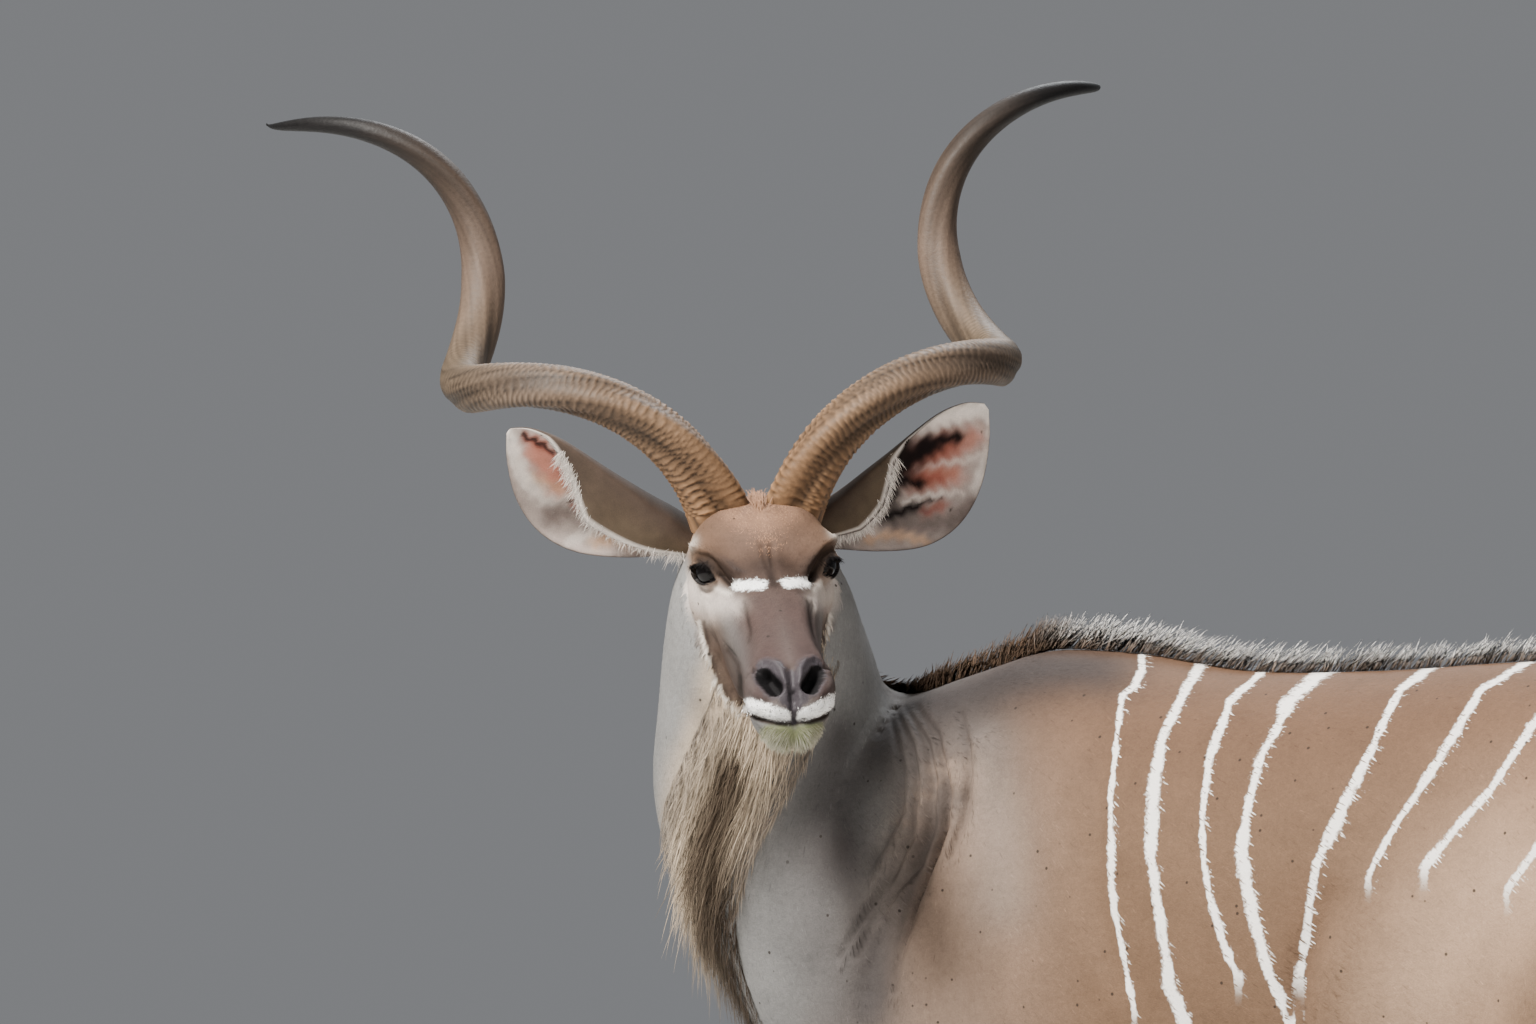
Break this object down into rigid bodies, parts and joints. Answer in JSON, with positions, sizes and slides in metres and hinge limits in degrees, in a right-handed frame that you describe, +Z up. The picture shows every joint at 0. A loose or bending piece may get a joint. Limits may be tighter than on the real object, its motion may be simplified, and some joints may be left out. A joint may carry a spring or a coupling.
{
  "type": "greater kudu bull",
  "caption": "Life-size standing greater kudu bull that looks back over its shoulder, with spiral horns, a striped body, a throat mane and a back crest.",
  "frame": {"origin": "on the floor, under the middle of the whole model's box", "axes": "+Z up; the body lies along X and faces -X, so its left side is -Y; the head is turned back over the left shoulder"},
  "size_m": [2.0642, 0.9112, 2.0116],
  "materials": {
    "coat": "short matt hair",
    "neck_coat": "short matt hair",
    "face": "short matt hair",
    "leg_coat": "short matt hair",
    "ear": "thin skin with fine hair",
    "horn": "ridged horn, satin towards the tip",
    "hoof": "dark horn, satin",
    "eye": "wet gloss"
  },
  "bodies": {
    "root": {"head": "face", "neck": "neck_coat", "torso": "coat", "tail": "coat", "foreleg_left": "leg_coat", "foreleg_right": "leg_coat", "hindleg_left": "leg_coat", "hindleg_right": "leg_coat", "hoof_fore_left": "hoof", "hoof_fore_right": "hoof", "hoof_hind_left": "hoof", "hoof_hind_right": "hoof", "horn_left": "horn", "horn_right": "horn", "ear_left": "ear", "ear_right": "ear", "eye_left": "eye", "eye_right": "eye"}
  },
  "joints": []
}
